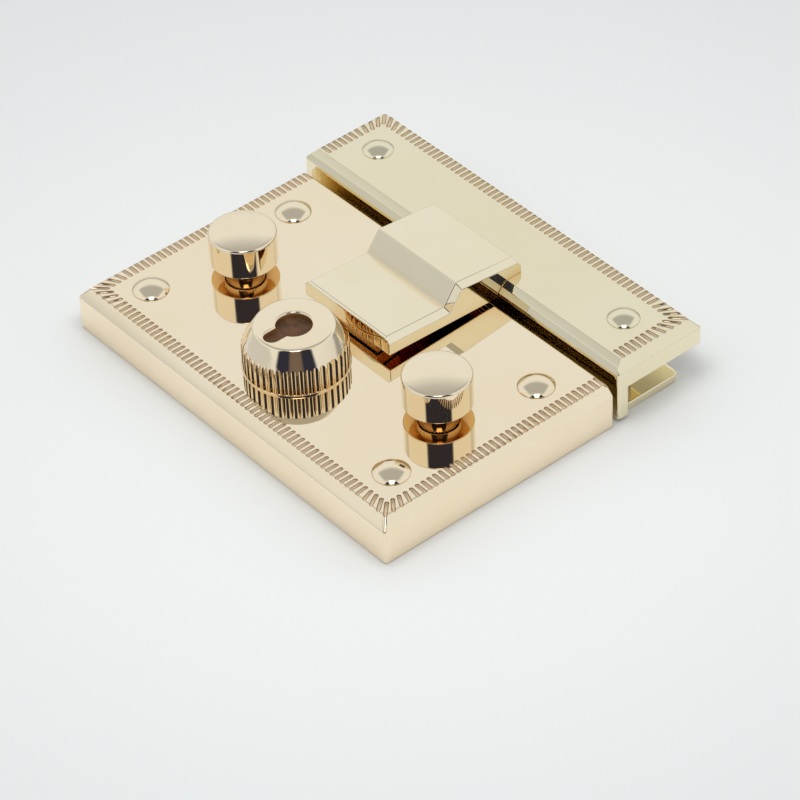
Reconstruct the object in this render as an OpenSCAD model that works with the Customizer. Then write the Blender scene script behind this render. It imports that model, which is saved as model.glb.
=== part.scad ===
// Bag push lock: a tray-shaped lock plate with two push buttons and a fixed, knurled
// lock cap, and a flap plate whose hasp is caught by a leaf spring inside the tray.
// Millimetres, +Z out of the front face. The origin is the middle of the footprint, on
// the back plane: +X runs along the plates and +Y towards the bag's flap.

/* [Lock plate] */
// Length of both plates along X
lock_w = 50; // [44:0.5:60]
// Depth of the lock plate along Y
lock_d = 30.4; // [28:0.2:36]
// Height of the lock plate's top face above the back plane
lock_h = 5.2; // [5:0.1:7]
// Thickness of the front skin of the tray
skin_t = 1.2; // [0.9:0.1:1.6]
// Thickness of the tray's side walls
wall_t = 2; // [1.4:0.1:3]
// Width of the bevel seen from above
bevel_w = 1; // [0.4:0.1:1.6]
// Drop of the bevel from the top face to the side wall
bevel_drop = 1.2; // [0.4:0.1:2]
// Small bevel along the edge that faces the flap plate
rear_bevel = 0.3; // [0.1:0.1:0.8]

/* [Engraved ticks] */
// Spacing of the ticks' inner ends
tick_pitch = 0.74; // [0.6:0.02:1.2]
// Length of a tick from the edge inwards
tick_len = 1.5; // [1:0.1:2]
// Depth of a tick, half its width
tick_depth = 0.22; // [0.08:0.02:0.3]
// Distance from the edge to the core that the ticks point away from
tick_fan = 4.8; // [3:0.2:6]

/* [Rivets] */
// Radius of a dome on the lock plate
rivet_r = 2; // [1.5:0.1:2.4]
// Height of a dome on the lock plate
rivet_dome = 0.85; // [0.4:0.05:1.2]
// Radius of a rivet's shank
rivet_shank_r = 1.2; // [1:0.1:1.5]
// Length of a rivet's shank
rivet_shank_l = 1.5; // [1:0.1:2]
// Distance from the plate's ends to the rivets
rivet_end = 5.5; // [4.8:0.1:7]
// Distance from the front edge to the front rivets
rivet_front = 5.6; // [5:0.1:7]
// Distance from the rear edge to the rear rivets
rivet_rear = 5.6; // [5:0.1:7]
// Radius of a boss behind a rivet
boss_r = 2.2; // [1.9:0.1:2.6]
// Radius of the tapped hole in a boss, for the bag's own screws
tap_r = 0.8; // [0.6:0.05:0.9]
// Depth of the tapped hole from the boss's face
tap_l = 2.4; // [1.5:0.1:2.6]

/* [Push buttons] */
// Distance from the plate's ends to the buttons
button_end = 9.4; // [8.5:0.1:11]
// Distance of the buttons from the front edge
button_y = 15.1; // [14:0.1:16]
// Radius of a button's head
head_r = 3.65; // [3:0.05:4.4]
// Height of a button's head
head_h = 3.7; // [3:0.1:5]
// Gap between the plate and the head
head_gap = 1.3; // [1.1:0.05:2]
// Rounding of the head's top edge
head_round = 0.35; // [0.1:0.05:0.8]
// Rise of the domed top over the head's height
head_dome = 0.3; // [0.1:0.05:0.6]
// Radius of the stem
stem_r = 1.4; // [1.2:0.05:1.7]
// Wall of the collar on the plate that hides the spring
collar_t = 0.27; // [0.2:0.01:0.4]
// Height of the collar above the plate
collar_h = 1.9; // [1.5:0.1:2.1]
// Radius of the stem's tip
tip_r = 0.6; // [0.4:0.05:0.8]
// Length of the tapered tip
tip_l = 1.5; // [1.2:0.1:1.6]
// Travel of a button
travel = 1; // [0.6:0.1:1.1]

/* [Springs and clips] */
// Radius of the spring's wire
wire_r = 0.16; // [0.1:0.01:0.2]
// Turns of a button spring
coil_turns = 4; // [3:1:6]
// Depth of the spring pocket in the head
pocket_l = 2.2; // [1.5:0.1:2.8]
// Thickness of a retaining clip
clip_t = 0.3; // [0.2:0.05:0.4]
// Outer radius of a retaining clip
clip_r = 2.1; // [1.8:0.1:2.4]
// Thickness of the catch spring's leaf
leaf_t = 0.5; // [0.3:0.05:0.6]
// Height of the catch spring's leaf
leaf_h = 0.8; // [0.5:0.05:0.9]
// Distance from the tray's side walls to the ends of the leaf
leaf_end = 2.2; // [1.5:0.1:3]
// Length of leaf from a button's axis to the bend
leaf_lead = 2.6; // [2:0.1:4]
// Length of leaf beside the tongue
leaf_side = 0.8; // [0.5:0.1:1.5]

/* [Lock cap] */
// Distance of the cap from the front edge
cap_y = 9.4; // [8:0.1:11]
// Radius over the knurl
cap_r = 5.55; // [4.5:0.05:6.5]
// Radius of the flat top
cap_top_r = 4.2; // [3:0.05:5]
// Height of the knurled band up to the cone
knurl_h = 2.6; // [2:0.1:4]
// Height of the cap
cap_h = 5; // [4:0.1:6.5]
// Teeth in the knurl
knurl_n = 44; // [30:1:60]
// Depth of the knurl's flutes
knurl_depth = 0.26; // [0.15:0.01:0.35]
// Radius of the knurl's flutes
flute_r = 0.37; // [0.3:0.01:0.5]
// Radius of the round part of the keyhole
key_r = 2.05; // [1.2:0.05:2.4]
// Width of the keyhole's slot
key_slot_w = 1.8; // [1:0.05:2]
// Distance from the cap's axis to the end of the slot
key_slot_l = 3.7; // [2.5:0.1:3.8]
// Depth of the keyhole
key_depth = 0.9; // [0.4:0.1:1.6]

/* [Hasp] */
// Width of the hasp
hasp_w = 13.5; // [11:0.1:16]
// Distance from the lock plate's front edge to the hasp's front
hasp_front = 16.2; // [15.5:0.1:17]
// Gap between the lock plate and the hasp's nose
hasp_gap = 1; // [0.6:0.1:1.6]
// Gap between the lock plate and the hasp at the flap plate
hasp_gap_rear = 0.4; // [0.2:0.05:1]
// Thickness of the hasp's front part
hasp_t = 2.1; // [1.8:0.1:3]
// Height of the rear edge above the flap plate
hasp_rear_t = 2.05; // [1.8:0.05:3]
// Fall of the front flat from the nose to the slope
hasp_fall = 0.5; // [0:0.05:0.8]
// Rise of the crest over the rear edge
hasp_crest_rise = 0.75; // [0:0.05:1]
// Length of the low front flat
hasp_flat = 7.9; // [6:0.1:9]
// Run of the slope seen from above
hasp_slope = 1.7; // [1:0.1:3]
// Overlap of the rear part on the flap plate's top
hasp_lap = 2; // [1.8:0.1:3]
// Width of the side chamfer
hasp_chamfer = 0.65; // [0.3:0.05:1]
// Width of the catch tongue
tongue_w = 6; // [4:0.1:8]
// Thickness of the catch tongue
tongue_t = 2.6; // [2:0.1:3.2]
// Distance from the hasp's front to the tongue
tongue_back = 1.3; // [0.8:0.1:2]
// Depth of the groove that the catch spring sits in
groove_depth = 0.45; // [0.3:0.05:0.5]

/* [Flap plate] */
// Depth of the flap plate along Y
flap_d = 11.6; // [10.5:0.1:15]
// Height of the flap plate's top face above the back plane
flap_h = 7.3; // [6.8:0.1:8.5]
// Thickness of the flap plate
flap_t = 3.1; // [2.8:0.1:3.6]
// Thickness of the wall in front of the bag's flap
flap_wall_t = 1.3; // [1:0.1:1.8]
// Height of the wall's foot above the back plane
flap_foot = 0.4; // [0.2:0.1:0.8]
// Gap between the two plates
seam = 0.6; // [0.4:0.05:1]
// Run of the front double bevel
front_run = 1.2; // [0.8:0.1:1.6]
// Drop of the front double bevel
front_drop = 1.1; // [0.8:0.05:1.8]
// Radius of a dome on the flap plate
flap_rivet_r = 1.75; // [1.2:0.05:2]
// Height of a dome on the flap plate
flap_rivet_dome = 0.75; // [0.4:0.05:1]
// Distance from the plate's rear edge to its rivets
flap_rivet_rear = 5.8; // [5:0.1:6.2]

/* [Backing] */
// Thickness of the backing plate under the flap
backing_t = 0.95; // [0.8:0.05:1.2]
// Depth of the backing plate along Y
backing_d = 7.6; // [6.5:0.1:8]
// Distance from the flap plate's ends to the backing plate
backing_end = 0.8; // [0.4:0.1:2]
// Thickness of the sheet that closes the tray
back_t = 0.7; // [0.5:0.05:0.8]
// Distance of the back plate's screws from the tray's front and rear walls
back_screw_in = 1.8; // [1.6:0.1:2.2]
// Distance of the back plate's screws from the middle
back_screw_x = 9.5; // [8:0.1:11]
// Radius of a small screw's shank
screw_r = 0.75; // [0.6:0.05:0.85]
// Radius of a small screw's countersunk head
screw_head_r = 1.45; // [1.2:0.05:1.6]

/* [Fits] */
// Radial clearance of a running fit
run_fit = 0.05; // [0.02:0.01:0.1]
// Clearance round a part that is fixed in place
fixed_fit = 0.02; // [0.01:0.01:0.05]
// Clearance beside a part that moves past another
move_gap = 0.2; // [0.1:0.05:0.3]

/* [Hidden] */
$fn = 64;
eps = 0.01;
over = 1;
gold = [0.86, 0.72, 0.48];
steel = [0.72, 0.73, 0.75];

total_d = lock_d + seam + flap_d;
front_y = -total_d / 2;
lock_back_y = front_y + lock_d;
flap_y = lock_back_y + seam;
flap_back_y = front_y + total_d;
ceiling = lock_h - skin_t;
rivet_x = lock_w / 2 - rivet_end;
rivet_ys = [front_y + rivet_front, lock_back_y - rivet_rear];
rebate_w = lock_w - wall_t;
rebate_d = lock_d - wall_t;
lock_mid_y = front_y + lock_d / 2;
back_screw_ys = [front_y + wall_t + back_screw_in, lock_back_y - wall_t - back_screw_in];
screw_boss_r = 1.9;
screw_l = 2.8;
tap_clear = 0.25;
screw_head_l = screw_head_r - screw_r;

button_x = lock_w / 2 - button_end;
button_py = front_y + button_y;
head_z = lock_h + head_gap;
clip_land = 0.35;
stem_end = ceiling - clip_t - clip_land - tip_l;
clip_z = ceiling - clip_t;
clip_bite = 0.35;
clip_groove_r = stem_r - clip_bite;
clip_mouth = 1.6 * clip_groove_r;
coil_play = 0.11;
collar_in_r = stem_r + 2 * wire_r + coil_play;
collar_r = collar_in_r + collar_t;
collar_play = 0.1;
pocket_r = collar_r + collar_play;
coil_r = (stem_r + collar_in_r) / 2;
coil_steps = 14;
coil_sides = 6;

leaf_lift = 0.05;
leaf_z = stem_end + leaf_lift;
leaf_mid_z = leaf_z + leaf_h / 2;
tip_at_leaf = tip_r + (stem_r - tip_r) * (leaf_z + leaf_h - stem_end) / tip_l;
leaf_y = button_py - tip_at_leaf - fixed_fit - leaf_t / 2;
leaf_end_x = lock_w / 2 - wall_t - leaf_end;
leaf_bend_x = button_x - leaf_lead;
leaf_flat_x = tongue_w / 2 + leaf_side;
tongue_y = front_y + hasp_front + tongue_back;
leaf_catch_y = tongue_y + groove_depth - fixed_fit - leaf_t / 2;
tongue_clear = 0.4;
tongue_z = back_t + tongue_clear;
lead_run = 0.9;
lip_t = 0.25;
anchor_t = 1.1;
anchor_l = 1.6;
anchor_clear = 0.1;

cap_py = front_y + cap_y;
spigot_r = 1.9;
spigot_l = skin_t - 0.1;
cap_screw_r = 1;
cap_screw_l = 3.2;
cap_screw_short = 0.3;
cap_head_r = 1.8;
cap_head_h = 0.9;
cap_slot_w = 0.5;
cap_slot_h = 0.4;
washer_r = 2.5;
washer_t = 0.4;
washer_fit = 0.1;
flange_h = 0.2;
flange_out = 0.12;

hasp_y = front_y + hasp_front;
hasp_z = lock_h + hasp_gap;
hasp_low = hasp_z + hasp_t;
hasp_high = flap_h + hasp_rear_t;
hasp_crease = [hasp_y + hasp_flat, hasp_low - hasp_fall];
hasp_crest = [hasp_crease[0] + hasp_slope, hasp_high + hasp_crest_rise];
hasp_tilt = hasp_fall / hasp_flat;
hasp_under_z = lock_h + hasp_gap_rear;
hasp_rear = flap_y + front_run + hasp_lap;
hasp_rear_slant = 0.8;
hasp_rear_h = 0.8;
lap_gap = 0.05;
nose_cut = 0.25;
front_break = [0.38, 0.42];
bevel_mid = [flap_y + front_run * front_break[0], flap_h - front_drop * front_break[1]];
bevel_foot_z = flap_h - front_drop;
tenon_r = 0.7;
tenon_x = 3.6;
tenon_in = 1;
tenon_y = hasp_rear - tenon_in;
plate_under = flap_h - flap_t;
foot_r = flap_wall_t / 2;
flap_rivet_y = flap_back_y - flap_rivet_rear;
flap_tap_l = 1.5;
flap_shank_l = 1.1;
backing_gap = 0.4;
backing_y = flap_y + flap_wall_t + backing_gap;
backing_corner = 0.8;
screw_short = 0.2;
backing_screw_l = plate_under + flap_tap_l - screw_short - screw_head_l;
mortise_l = 1.2;

// Part names, one exact solid file each
// Part to show

// A solid with one outline seen along X, as long as its width
module along_x(width) {
    rotate([90, 0, 90])
        linear_extrude(height = width, center = true)
            children();
}

// A solid with one outline seen along Y, from y0 to y1
module along_y(y0, y1) {
    translate([0, y1, 0])
        rotate([90, 0, 0])
            linear_extrude(height = y1 - y0)
                children();
}

// Bevels on both ends of a plate, seen along Y
module end_outline(z0, top) {
    half = lock_w / 2;
    polygon([
        [-half, z0], [half, z0], [half, top - bevel_drop], [half - bevel_w, top],
        [-half + bevel_w, top], [-half, top - bevel_drop]
    ]);
}

// One V-shaped tick that starts at q and runs away from the core of the plate
module tick(q, core) {
    run = (q - core) * tick_len / (tick_fan - tick_len);
    side = tick_depth * sqrt(2);
    translate([q[0], q[1], 0])
        rotate([0, 0, atan2(run[1], run[0])])
            rotate([45, 0, 0])
                translate([0, -side / 2, -side / 2])
                    cube([norm(run) + over, side, side]);
}

// The place on the plate's core that a tick points away from; it turns at a corner
function core_of(q, y0, y1) =
    let (core_x = lock_w / 2 - bevel_w - tick_fan)
        [max(-core_x, min(core_x, q[0])), max(y0, min(y1, q[1]))];

// Ticks along both ends and one long side of a plate; edge_y is that side's top edge
module ticks(edge_y, open_y) {
    away = open_y > edge_y ? 1 : -1;
    end_x = lock_w / 2 - bevel_w - tick_len;
    end_y = edge_y + away * tick_len;
    core_y = edge_y + away * tick_fan;
    y0 = min(core_y, open_y);
    y1 = max(core_y, open_y);
    n = round(end_x / tick_pitch);
    m = floor(abs(open_y - end_y) / tick_pitch - 0.5);
    for (i = [-n : n])
        let (q = [i * end_x / n, end_y])
            tick(q, core_of(q, y0, y1));
    for (s = [-1, 1], i = [1 : m])
        let (q = [s * end_x, end_y + away * i * tick_pitch])
            tick(q, core_of(q, y0, y1));
}

// A low dome on a disc of radius r
module dome(r, rise) {
    ball = (r * r + rise * rise) / (2 * rise);
    intersection() {
        translate([0, 0, rise - ball])
            sphere(r = ball);
        cylinder(r = r + over, h = rise + over);
    }
}

// A countersunk screw, its head's face at z = 0 and its shank upwards
module countersunk(shank_l) {
    cylinder(r1 = screw_head_r, r2 = screw_r, h = screw_head_l);
    cylinder(r = screw_r, h = screw_head_l + shank_l);
}

// The hole for a countersunk screw
module countersink(plate_t) {
    translate([0, 0, -eps])
        cylinder(r1 = screw_head_r + fixed_fit + eps, r2 = screw_r + fixed_fit, h = screw_head_l + eps);
    cylinder(r = screw_r + fixed_fit, h = plate_t + over);
}

module at_rivets() {
    for (x = [-rivet_x, rivet_x], y = rivet_ys)
        translate([x, y, 0])
            children();
}

module at_back_screws() {
    for (x = [-back_screw_x, back_screw_x], y = back_screw_ys)
        translate([x, y, 0])
            children();
}

module at_flap_rivets() {
    for (x = [-rivet_x, rivet_x])
        translate([x, flap_rivet_y, 0])
            children();
}

module at_tenons(below, grow) {
    for (x = [-tenon_x, tenon_x])
        translate([x, tenon_y, plate_under - below])
            cylinder(r = tenon_r + grow, h = below + flap_t + over);
}

module at_buttons() {
    for (x = [-button_x, button_x])
        translate([x, button_py, 0])
            children();
}

// The collars that the buttons' heads slide over
module collars() {
    at_buttons()
        translate([0, 0, lock_h - eps])
            difference() {
                cylinder(r = collar_r, h = collar_h + eps);
                translate([0, 0, eps])
                    cylinder(r = collar_in_r, h = collar_h + over);
            }
}

// The two slotted lugs that hold the ends of the catch spring
module spring_lugs() {
    for (s = [-1, 1])
        translate([s * (leaf_end_x - anchor_l / 2), leaf_y, 0])
            difference() {
                translate([-anchor_l / 2, -leaf_t / 2 - anchor_t, back_t + anchor_clear])
                    cube([anchor_l, leaf_t + 2 * anchor_t, ceiling - back_t]);
                translate([-over, -leaf_t / 2 - fixed_fit, 0])
                    cube([2 * over + anchor_l, leaf_t + 2 * fixed_fit, leaf_z + leaf_h + fixed_fit]);
            }
}

module lock_shell() {
    difference() {
        intersection() {
            along_x(lock_w)
                polygon([
                    [front_y, 0], [lock_back_y, 0], [lock_back_y, lock_h - rear_bevel],
                    [lock_back_y - rear_bevel, lock_h], [front_y + bevel_w, lock_h],
                    [front_y, lock_h - bevel_drop]
                ]);
            along_y(front_y, lock_back_y)
                end_outline(0, lock_h);
        }
        translate([-lock_w / 2 + wall_t, front_y + wall_t, -over])
            cube([lock_w - 2 * wall_t, lock_d - 2 * wall_t, ceiling + over]);
        translate([-rebate_w / 2, lock_mid_y - rebate_d / 2, -over])
            cube([rebate_w, rebate_d, back_t + over]);
    }
}

module lock_plate() {
    color(gold)
        difference() {
            union() {
                lock_shell();
                at_rivets()
                    translate([0, 0, back_t])
                        cylinder(r = boss_r, h = ceiling - back_t + eps);
                at_back_screws()
                    translate([0, 0, back_t])
                        cylinder(r = screw_boss_r, h = ceiling - back_t + eps);
                spring_lugs();
                collars();
            }
            at_rivets() {
                translate([0, 0, lock_h - rivet_shank_l - fixed_fit])
                    cylinder(r = rivet_shank_r + fixed_fit, h = rivet_shank_l + over);
                translate([0, 0, -over])
                    cylinder(r = tap_r, h = back_t + tap_l + over);
            }
            at_back_screws()
                cylinder(r = screw_r + fixed_fit, h = screw_head_l + screw_l + fixed_fit);
            at_buttons()
                cylinder(r = stem_r + run_fit, h = lock_h + over);
            translate([0, cap_py, 0])
                cylinder(r = spigot_r + fixed_fit, h = lock_h + over);
            translate([-tongue_w / 2 - move_gap, tongue_y - move_gap, ceiling - over])
                cube([tongue_w + 2 * move_gap, tongue_t + 2 * move_gap, skin_t + 2 * over]);
            translate([0, 0, lock_h])
                ticks(front_y + bevel_w, lock_back_y);
        }
}

module lock_plate_rivets() {
    color(gold)
        at_rivets()
            translate([0, 0, lock_h]) {
                dome(rivet_r, rivet_dome);
                translate([0, 0, -rivet_shank_l])
                    cylinder(r = rivet_shank_r, h = rivet_shank_l + eps);
            }
}

module back_plate() {
    color(steel)
        difference() {
            translate([-rebate_w / 2 + fixed_fit, lock_mid_y - rebate_d / 2 + fixed_fit, 0])
                cube([rebate_w - 2 * fixed_fit, rebate_d - 2 * fixed_fit, back_t]);
            at_rivets()
                translate([0, 0, -over])
                    cylinder(r = tap_r + tap_clear, h = back_t + 2 * over);
            at_back_screws()
                countersink(back_t);
        }
}

module back_plate_screws() {
    color(steel)
        at_back_screws()
            countersunk(screw_l);
}

module head_outline() {
    top = head_h - head_round;
    square([head_r, top]);
    square([head_r - head_round, head_h + head_dome + over]);
    translate([head_r - head_round, top])
        circle(r = head_round);
}

module button() {
    ball = (head_r * head_r + head_dome * head_dome) / (2 * head_dome);
    color(gold) {
        translate([0, 0, head_z])
            difference() {
                intersection() {
                    rotate_extrude()
                        head_outline();
                    translate([0, 0, head_h + head_dome - ball])
                        sphere(r = ball);
                }
                translate([0, 0, -over])
                    cylinder(r = pocket_r, h = pocket_l + over);
            }
        difference() {
            translate([0, 0, stem_end + tip_l])
                cylinder(r = stem_r, h = head_z + pocket_l - stem_end - tip_l + eps);
            translate([0, 0, clip_z - fixed_fit])
                difference() {
                    cylinder(r = stem_r + over, h = clip_t + fixed_fit);
                    translate([0, 0, -over])
                        cylinder(r = clip_groove_r, h = clip_t + 3 * over);
                }
        }
        translate([0, 0, stem_end])
            cylinder(r1 = tip_r, r2 = stem_r, h = tip_l);
    }
}

module left_button() {
    translate([-button_x, button_py, 0])
        button();
}

module right_button() {
    translate([button_x, button_py, 0])
        button();
}

// Height of the wire's middle after t turns; the first and last half turn lie flat
function coil_z(t, rise) = rise * max(0, min(coil_turns, t - 0.5));

// A coil with flat ends, standing on the plate and pushing up the head
module button_spring() {
    rise = (head_gap + pocket_l - 2 * fixed_fit - 2 * wire_r) / coil_turns;
    rings = coil_steps * (coil_turns + 1);
    points = [
        for (i = [0 : rings], j = [0 : coil_sides - 1])
            let (t = i / coil_steps, a = 360 * j / coil_sides, r = coil_r + wire_r * cos(a))
                [r * cos(360 * t), r * sin(360 * t), coil_z(t, rise) + wire_r * sin(a)]
    ];
    skin = [
        for (i = [0 : rings - 1], j = [0 : coil_sides - 1], half = [0, 1])
            let (k = (j + 1) % coil_sides, p = i * coil_sides, q = p + coil_sides)
                half == 0 ? [p + j, p + k, q + k] : [p + j, q + k, q + j]
    ];
    first = [for (j = [coil_sides - 1 : -1 : 0]) j];
    last = [for (j = [0 : coil_sides - 1]) rings * coil_sides + j];
    color(steel)
        translate([0, 0, lock_h + fixed_fit + wire_r])
            polyhedron(points = points, faces = concat(skin, [first, last]));
}

module left_button_spring() {
    translate([-button_x, button_py, 0])
        button_spring();
}

module right_button_spring() {
    translate([button_x, button_py, 0])
        button_spring();
}

// A snap ring, open on one side so that it slides into the stem's groove
module button_clip() {
    color(steel)
        translate([0, 0, clip_z])
            difference() {
                cylinder(r = clip_r, h = clip_t - fixed_fit);
                translate([0, 0, -over])
                    cylinder(r = clip_groove_r + fixed_fit, h = clip_t + 2 * over);
                translate([0, -clip_mouth / 2, -over])
                    cube([clip_r + over, clip_mouth, clip_t + 2 * over]);
            }
}

module left_button_clip() {
    translate([-button_x, button_py, 0])
        mirror([1, 0, 0])
            button_clip();
}

module right_button_clip() {
    translate([button_x, button_py, 0])
        button_clip();
}

// A straight stretch of the leaf between two points, round at both ends
module leaf_run(a, b) {
    translate(a)
        rotate([0, 0, atan2(b[1] - a[1], b[0] - a[0])])
            translate([0, -leaf_t / 2])
                square([norm(b - a), leaf_t]);
    translate(b)
        circle(d = leaf_t);
}

module catch_spring() {
    route = [
        [-leaf_end_x, leaf_y], [-leaf_bend_x, leaf_y], [-leaf_flat_x, leaf_catch_y],
        [leaf_flat_x, leaf_catch_y], [leaf_bend_x, leaf_y], [leaf_end_x, leaf_y]
    ];
    color(steel)
        translate([0, 0, leaf_z])
            linear_extrude(height = leaf_h)
                for (i = [1 : len(route) - 1])
                    leaf_run(route[i - 1], route[i]);
}

module keyhole() {
    circle(r = key_r);
    translate([-key_slot_w / 2, -key_slot_l + key_slot_w / 2])
        square([key_slot_w, key_slot_l - key_slot_w / 2]);
    translate([0, -key_slot_l + key_slot_w / 2])
        circle(d = key_slot_w);
}

module lock_cap() {
    color(gold)
        translate([0, cap_py, lock_h])
            difference() {
                union() {
                    cylinder(r = cap_r, h = knurl_h);
                    cylinder(r = cap_r + flange_out, h = flange_h);
                    translate([0, 0, knurl_h])
                        cylinder(r1 = cap_r, r2 = cap_top_r, h = cap_h - knurl_h);
                    translate([0, 0, -spigot_l])
                        cylinder(r = spigot_r, h = spigot_l + eps);
                }
                for (i = [0 : knurl_n - 1])
                    rotate([0, 0, i * 360 / knurl_n])
                        translate([cap_r + flute_r - knurl_depth, 0, flange_h])
                            cylinder(r = flute_r, h = cap_h);
                translate([0, 0, cap_h - key_depth])
                    linear_extrude(height = key_depth + over)
                        keyhole();
                translate([0, 0, -skin_t - over])
                    cylinder(r = cap_screw_r, h = cap_screw_l + over);
            }
}

module cap_washer() {
    color(steel)
        translate([0, cap_py, ceiling - washer_t])
            difference() {
                cylinder(r = washer_r, h = washer_t);
                translate([0, 0, -over])
                    cylinder(r = cap_screw_r + washer_fit, h = washer_t + 2 * over);
            }
}

module cap_screw() {
    bottom = ceiling - washer_t - cap_head_h;
    shank_l = washer_t + cap_screw_l - cap_screw_short;
    color(steel)
        translate([0, cap_py, bottom])
            difference() {
                union() {
                    cylinder(r = cap_head_r, h = cap_head_h);
                    cylinder(r = cap_screw_r - fixed_fit, h = cap_head_h + shank_l);
                }
                translate([-cap_head_r - over, -cap_slot_w / 2, -over])
                    cube([2 * (cap_head_r + over), cap_slot_w, cap_slot_h + over]);
            }
}

module flap_plate() {
    color(gold)
        difference() {
            intersection() {
                along_x(lock_w) {
                    translate([flap_y + foot_r, flap_foot + foot_r])
                        circle(r = foot_r);
                    polygon([
                        [flap_y, flap_foot + foot_r], [flap_y + flap_wall_t, flap_foot + foot_r],
                        [flap_y + flap_wall_t, plate_under], [flap_back_y, plate_under],
                        [flap_back_y, flap_h - bevel_drop], [flap_back_y - bevel_w, flap_h],
                        [flap_y + front_run, flap_h], bevel_mid, [flap_y, bevel_foot_z]
                    ]);
                }
                along_y(flap_y, flap_back_y)
                    end_outline(0, flap_h);
            }
            at_flap_rivets() {
                translate([0, 0, flap_h - flap_shank_l - fixed_fit])
                    cylinder(r = rivet_shank_r + fixed_fit, h = flap_shank_l + over);
                translate([0, 0, plate_under - over])
                    cylinder(r = screw_r + fixed_fit, h = flap_tap_l + over);
            }
            at_tenons(over, fixed_fit);
            translate([0, 0, flap_h])
                ticks(flap_back_y - bevel_w, flap_y + front_run);
        }
}

module flap_rivets() {
    color(gold)
        at_flap_rivets()
            translate([0, 0, flap_h]) {
                dome(flap_rivet_r, flap_rivet_dome);
                translate([0, 0, -flap_shank_l])
                    cylinder(r = rivet_shank_r, h = flap_shank_l + eps);
            }
}

// Cuts the chamfer along both sides of a top face that runs from a to b, seen along X
module side_chamfers(a, b) {
    reach = norm(b - a) + 2 * over;
    half = hasp_w / 2;
    translate([0, a[0], a[1]])
        rotate([atan2(b[1] - a[1], b[0] - a[0]), 0, 0])
            for (s = [-1, 1])
                along_y(-over, reach)
                    polygon([
                        [s * (half - hasp_chamfer - over), over],
                        [s * (half + over), -hasp_chamfer - over], [s * (half + over), over]
                    ]);
}

module hasp_front_part() {
    nose = [hasp_y, hasp_low];
    tail = [lock_back_y, hasp_low - hasp_tilt * (lock_back_y - hasp_y)];
    difference() {
        along_x(hasp_w)
            polygon([
                [hasp_y, hasp_z], [lock_back_y, hasp_under_z], tail,
                [hasp_y + nose_cut, hasp_low - hasp_tilt * nose_cut], [hasp_y, hasp_low - nose_cut]
            ]);
        side_chamfers(nose, tail);
    }
}

module hasp_rear_part() {
    along = (hasp_crest - hasp_crease) / (hasp_crest[1] - hasp_crease[1]);
    foot = hasp_crease - along * (hasp_crease[1] - hasp_z);
    brow = [hasp_rear - hasp_rear_slant, hasp_high];
    difference() {
        difference() {
            along_x(hasp_w)
                polygon([
                    foot, hasp_crest, brow, [hasp_rear, flap_h + hasp_rear_h], [hasp_rear, flap_h],
                    [flap_y + front_run, flap_h], [bevel_mid[0] - lap_gap, bevel_mid[1]],
                    [flap_y - lap_gap, bevel_foot_z], [flap_y - lap_gap, hasp_under_z]
                ]);
            side_chamfers(foot, hasp_crest);
        }
        side_chamfers(hasp_crest, brow);
    }
}

module hasp() {
    color(gold) {
        difference() {
            union() {
                hasp_front_part();
                hasp_rear_part();
            }
            translate([0, 0, hasp_z])
                tongue_block(-over, mortise_l + fixed_fit, fixed_fit);
        }
        at_tenons(0, 0);
    }
}

// The tongue's upright block, from z0 to z1 and a little larger all round by grow
module tongue_block(z0, z1, grow) {
    translate([-tongue_w / 2 - grow, tongue_y - grow, z0])
        cube([tongue_w + 2 * grow, tongue_t + 2 * grow, z1 - z0]);
}

module catch_tongue() {
    groove_z = leaf_z - move_gap;
    color(steel)
        difference() {
            tongue_block(tongue_z, hasp_z + mortise_l, 0);
            along_x(tongue_w + 2 * over)
                polygon([
                    [tongue_y - over, tongue_z - over], [tongue_y + lead_run, tongue_z - over],
                    [tongue_y + lead_run, tongue_z], [tongue_y, groove_z - lip_t],
                    [tongue_y - over, groove_z - lip_t]
                ]);
            translate([-tongue_w / 2 - over, tongue_y - over, groove_z])
                cube([tongue_w + 2 * over, groove_depth + over, leaf_h + 2 * move_gap]);
        }
}

module backing_plate() {
    half = lock_w / 2 - backing_end;
    mid = half - backing_corner;
    color(gold)
        difference() {
            translate([0, backing_y, 0])
                linear_extrude(height = backing_t) {
                    translate([-mid, 0])
                        square([2 * mid, backing_d]);
                    translate([-half, backing_corner])
                        square([2 * half, backing_d - 2 * backing_corner]);
                    for (x = [-mid, mid], y = [backing_corner, backing_d - backing_corner])
                        translate([x, y])
                            circle(r = backing_corner);
                }
            at_flap_rivets()
                countersink(backing_t);
        }
}

module backing_screws() {
    color(steel)
        at_flap_rivets()
            countersunk(backing_screw_l);
}

lock_plate();
lock_plate_rivets();
back_plate();
back_plate_screws();
left_button();
right_button();
left_button_spring();
right_button_spring();
left_button_clip();
right_button_clip();
catch_spring();
lock_cap();
cap_washer();
cap_screw();
flap_plate();
flap_rivets();
hasp();
catch_tongue();
backing_plate();
backing_screws();
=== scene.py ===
import math

import bmesh
import bpy
from mathutils import Matrix, Vector


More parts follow.
